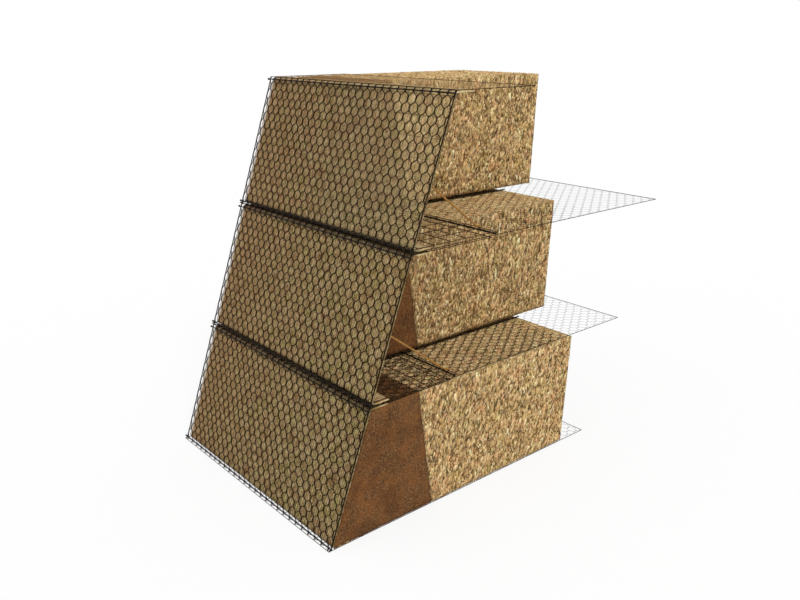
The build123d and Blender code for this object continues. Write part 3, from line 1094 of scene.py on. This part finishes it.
def mat_khaki(f, ribs, strands):
    """Khaki of the clean mat, darker between ribs, strands and strokes."""
    khaki = f.ramp(f.parted(ribs.outputs["Color"]), (0.0, 194, 174, 129), (0.3, 217, 197, 148),
                   (0.6, 233, 211, 161), (0.8, 227, 199, 161), (1.0, 227, 217, 163))
    rib_gap = f.ramp(ribs.outputs["Distance"], (0.3, *WHITE), (0.8, 196, 180, 154))
    khaki = f.tinged(khaki, rib_gap, 0.9)
    thread = f.ramp(strands, (0.0, 205, 196, 180), (1.0, *WHITE))
    khaki = f.tinged(khaki, thread, 0.7)
    drift = f.ramp(f.noise(17, 3, 0.6), (0.36, 222, 206, 194), (0.5, *WHITE), (0.64, 226, 232, 202))
    khaki = f.tinged(khaki, drift)
    wander = f.times(f.noise(14, 3, 0.6), 9.0)
    bands = f.math("SINE", f.plus(f.times(f.axis("X"), 2 * math.pi / STROKE_PITCH), wander))
    stroke = f.ramp(f.math("MULTIPLY_ADD", bands, 0.5, 0.5), (0.1, 140, 126, 102), (0.45, *WHITE))
    return f.tinged(khaki, stroke, 0.9)


def earth_share(f):
    """Patchy share of the mat that earth fills, more to the left."""
    leftward = f.times(f.plus(f.axis("X"), 0.1), -0.75)
    patchy = f.plus(leftward, f.times(f.minus(f.noise(30, 4, 0.7), 0.47), 3.2))
    return f.times(f.plus(patchy, 0.1, clamp=True), 0.7)


def mat_finish():
    """Tangled filaments in upright ribs, open enough to see through, with earth caught in them, painted shade
    at its folds and painted light where the top tier's soil is cut back.
    """
    f = Finish("erosion_mat")
    ribs = f.cells(105, f.vector_math("MULTIPLY", f.place, (1.0, 0.28, 0.28)))
    off_strand = f.math("ABSOLUTE", f.minus(f.noise(230, 4, 0.7, 1.4), 0.5))
    strands = f.minus(1.0, f.times(off_strand, 8.0), clamp=True)
    earth = f.ramp(f.noise(120, 4, 0.7), (0.3, 121, 86, 57), (0.5, 170, 129, 90), (0.7, 203, 160, 117))
    colour = f.mix(earth_share(f), mat_khaki(f, ribs, strands), earth)
    height = f.math("FRACT", f.math("DIVIDE", f.axis("Z"), LIFT))
    at_floor = f.math("LESS_THAN", height, FLOOR_FOLD)
    at_ceiling = f.times(f.math("GREATER_THAN", height, CEILING_FOLD),
                         f.math("LESS_THAN", f.axis("Z"), base_z(3)))
    # Painted shade darkens the floor fold near the face; the ceiling folds of tiers 1 and 2 get the painted
    # shadow of the tier above
    shadowed = f.ramp(behind_face(f), (0.02, 96, 90, 80), (0.06, *WHITE))
    overhang_painted_shadow = f.ramp(behind_face(f), (0.02, 172, 173, 186), (0.045, *WHITE))
    colour = f.mix(at_floor, colour, f.tinged(colour, shadowed))
    colour = f.mix(at_ceiling, colour, f.tinged(colour, overhang_painted_shadow))
    soil_cut_back = past_the_soil(f)
    # Painted light: the mat is painted paler where the top tier's soil is cut back, standing in for the lit
    # backfill seen through it
    colour = f.mix(f.times(soil_cut_back, 0.11), colour, srgb(240, 218, 170))
    open_share = f.math("MULTIPLY_ADD", soil_cut_back, 0.13, f.times(ribs.outputs["Distance"], 0.2))
    doubled = f.math("GREATER_THAN", f.math("ABSOLUTE", f.minus(height, 0.5)), DOUBLED_FROM_MIDDLE)
    alpha = f.minus(f.plus(f.times(strands, 0.32), 0.38), open_share)
    alpha = f.plus(alpha, f.times(doubled, 0.6), clamp=True)
    return f.set(colour=colour, roughness=0.9, specular=0.15, alpha=alpha,
                 normal=f.bump(f.minus(strands, ribs.outputs["Distance"]), 0.25, 0.002))


def wire_finish(name, dark, rust, amount, roughness):
    f = Finish(name)
    worn = f.ramp(f.noise(60, 4, 0.65), (0.5 - amount / 2, *BLACK), (0.78 - amount / 3, *WHITE))
    colour = f.mix(worn, dark, rust)
    return f.set(colour=colour, roughness=roughness, specular=0.12,
                 normal=f.bump(f.noise(500, 2), 0.2, 0.0006))


def bracket_finish():
    f = Finish("rusty_bracket")
    flake = f.noise(110, 5, 0.7)
    colour = f.ramp(flake, (0.3, 106, 70, 22), (0.5, 152, 104, 36), (0.7, 188, 138, 60))
    return f.set(colour=colour, roughness=0.75, metallic=0.1, normal=f.bump(flake, 0.5, 0.0012))


NET = wire_finish("net_wire", srgb(20, 13, 3), srgb(46, 30, 9), 0.2, 0.85)
STAINED_NET = wire_finish("earthy_net_wire", srgb(146, 118, 80), srgb(184, 152, 106), 0.5, 0.9)
ROD = wire_finish("fold_rod", srgb(12, 10, 8), srgb(40, 28, 18), 0.15, 0.55)
MESH = wire_finish("welded_mesh", srgb(40, 32, 22), srgb(92, 64, 38), 0.4, 0.75)
MAT = mat_finish()
TOPSOIL = topsoil_finish()
BACKFILL = backfill_finish()
LOOSE_STONE = stone_finish()
CRUMB = crumb_finish()
BRACKET = bracket_finish()


# Build every tier

# Solid, lumps to a square metre where seen and elsewhere, median and largest half length, width
STONES = (STONE, 1750, 600, 0.0150, 0.032, 0.21)
CHIPS = (CHIP, 2900, 900, 0.0095, 0.018, 0.22)
CRUMBS = (CHIP, 2400, 1300, 0.0042, 0.007, 0.6)


def add_lumps(name, patches, kind, finish, slot, smooth=False):
    shape, tints = lumps(patches, *kind)
    piece = add_piece(name, shape, finish, slot, smooth=smooth)
    layer = piece.data.attributes.new("tint", "FLOAT", "POINT")
    layer.data.foreach_set("value", tints.astype(np.float32))


for tier in TIERS:
    for name, shape, finish, slot in (
        ("face_net", face_net(tier), NET, "net_wire"),
        ("base_net", base_net(tier), NET, "net_wire"),
        ("flap_net", flap_net(tier), NET if tier == 1 else STAINED_NET, "net_wire"),
        ("toe_rod", fold_rod(tier, TOE_ROD_RISE, TOE_ROD_SHIFT, 0), ROD, "fold_rod"),
        ("top_rod", fold_rod(tier, TOP_ROD_HEIGHT, 0.0, FACE_ROWS[-1]), ROD, "fold_rod"),
        ("foot_bar", foot_bar(tier), ROD, "fold_rod"),
        ("face_mesh", face_mesh(tier), MESH, "welded_mesh"),
        ("foot_mesh", foot_mesh(tier), MESH, "welded_mesh"),
        ("erosion_mat", erosion_mat(tier), MAT, "erosion_mat"),
        ("topsoil", soil_block(tier, *TOPSOIL_BLOCK), TOPSOIL, "topsoil"),
        ("backfill", soil_block(tier, *BACKFILL_BLOCK), BACKFILL, "backfill"),
    ):
        piece = add_piece(f"wall_{name}_{tier}", shape, finish, slot, f"{name}_{tier}")
    fill = soil_patches(tier, False)
    earth = soil_patches(tier, True)
    add_lumps(f"wall_stones_{tier}", fill, STONES, LOOSE_STONE, "backfill")
    add_lumps(f"wall_chips_{tier}", fill, CHIPS, LOOSE_STONE, "backfill")
    add_lumps(f"wall_crumbs_{tier}", earth, CRUMBS, CRUMB, "topsoil", smooth=True)
    add_piece(f"wall_flap_edge_{tier}", flap_edge(tier), NET, "net_wire")
    if tier in BRACKET_FROM_RIGHT:
        add_piece(f"wall_bracket_{tier}", bracket(tier), BRACKET, "bracket", f"bracket_{tier}")


# Floor, light and camera

FLOOR_HALF = 30.0
FLOOR_Z = -0.0006
FLOOR_GLOW = 0.8
AMBIENT = 0.66


def emptied(holder):
    """Nodes and links of a material or world, cleared."""
    holder.use_nodes = True
    holder.node_tree.nodes.clear()
    return holder.node_tree.nodes, holder.node_tree.links


def background_rays(nodes, links):
    """1 for camera, glossy and transmission rays, which see the background as it looks."""
    path = nodes.new("ShaderNodeLightPath")
    most = path.outputs["Is Camera Ray"]
    for kind in ("Is Glossy Ray", "Is Transmission Ray"):
        either = nodes.new("ShaderNodeMath")
        either.operation = "MAXIMUM"
        links.new(most, either.inputs[0])
        links.new(path.outputs[kind], either.inputs[1])
        most = either.outputs[0]
    return most


def stage_floor():
    corners = [(x * FLOOR_HALF, y * FLOOR_HALF, FLOOR_Z) for x, y in ((-1, -1), (1, -1), (1, 1), (-1, 1))]
    floor = build_object("floor", corners, [(0, 1, 2, 3)], smooth=False)
    material = bpy.data.materials.new("pale_floor")
    nodes, links = emptied(material)
    output = nodes.new("ShaderNodeOutputMaterial")
    blend = nodes.new("ShaderNodeMixShader")
    matte = nodes.new("ShaderNodeBsdfDiffuse")
    glow = nodes.new("ShaderNodeEmission")
    share = nodes.new("ShaderNodeMath")
    share.operation = "MULTIPLY"
    share.inputs[1].default_value = FLOOR_GLOW
    matte.inputs["Color"].default_value = (0.86, 0.86, 0.86, 1)
    glow.inputs["Color"].default_value = (1, 1, 1, 1)
    links.new(background_rays(nodes, links), share.inputs[0])
    links.new(share.outputs[0], blend.inputs[0])
    links.new(matte.outputs[0], blend.inputs[1])
    links.new(glow.outputs[0], blend.inputs[2])
    links.new(blend.outputs[0], output.inputs["Surface"])
    floor.data.materials.append(material)


def sky():
    """Even light on the object, and plain white where the background is seen."""
    world = bpy.data.worlds.new("studio")
    nodes, links = emptied(world)
    output = nodes.new("ShaderNodeOutputWorld")
    blend = nodes.new("ShaderNodeMixShader")
    links.new(background_rays(nodes, links), blend.inputs[0])
    for number, strength in ((1, AMBIENT), (2, 1.0)):
        background = nodes.new("ShaderNodeBackground")
        background.inputs["Color"].default_value = (1, 1, 1, 1)
        background.inputs["Strength"].default_value = strength
        links.new(background.outputs[0], blend.inputs[number])
    links.new(blend.outputs[0], output.inputs["Surface"])
    bpy.context.scene.world = world


def turned_to(holder, direction):
    """Turn a lamp or camera to look along a direction."""
    holder.rotation_mode = "QUATERNION"
    holder.rotation_quaternion = direction.to_track_quat("-Z", "Y")


def sun(name, direction, strength, angle):
    """Sun lamp that shines from a direction, with its width in degrees."""
    lamp = bpy.data.lights.new(name, "SUN")
    lamp.energy = strength
    lamp.angle = math.radians(angle)
    turned_to(placed(name, lamp), -Vector(direction))


def camera():
    data = bpy.data.cameras.new("camera")
    data.lens = 35.01
    data.sensor_width = 36.0
    data.shift_x = 0.0595
    data.shift_y = 0.0606
    data.clip_end = 100.0
    holder = placed("camera", data)
    holder.location = (3.512, -3.3645, 2.525)
    turned_to(holder, Vector((-0.7232, 0.5798, -0.3752)))
    bpy.context.scene.camera = holder


stage_floor()
sky()
sun("key", (0.80, -0.32, 0.95), 1.75, 25)
sun("fill", (-0.2, -0.9, 0.6), 0.45, 60)
camera()
bpy.context.scene.view_settings.view_transform = "Standard"
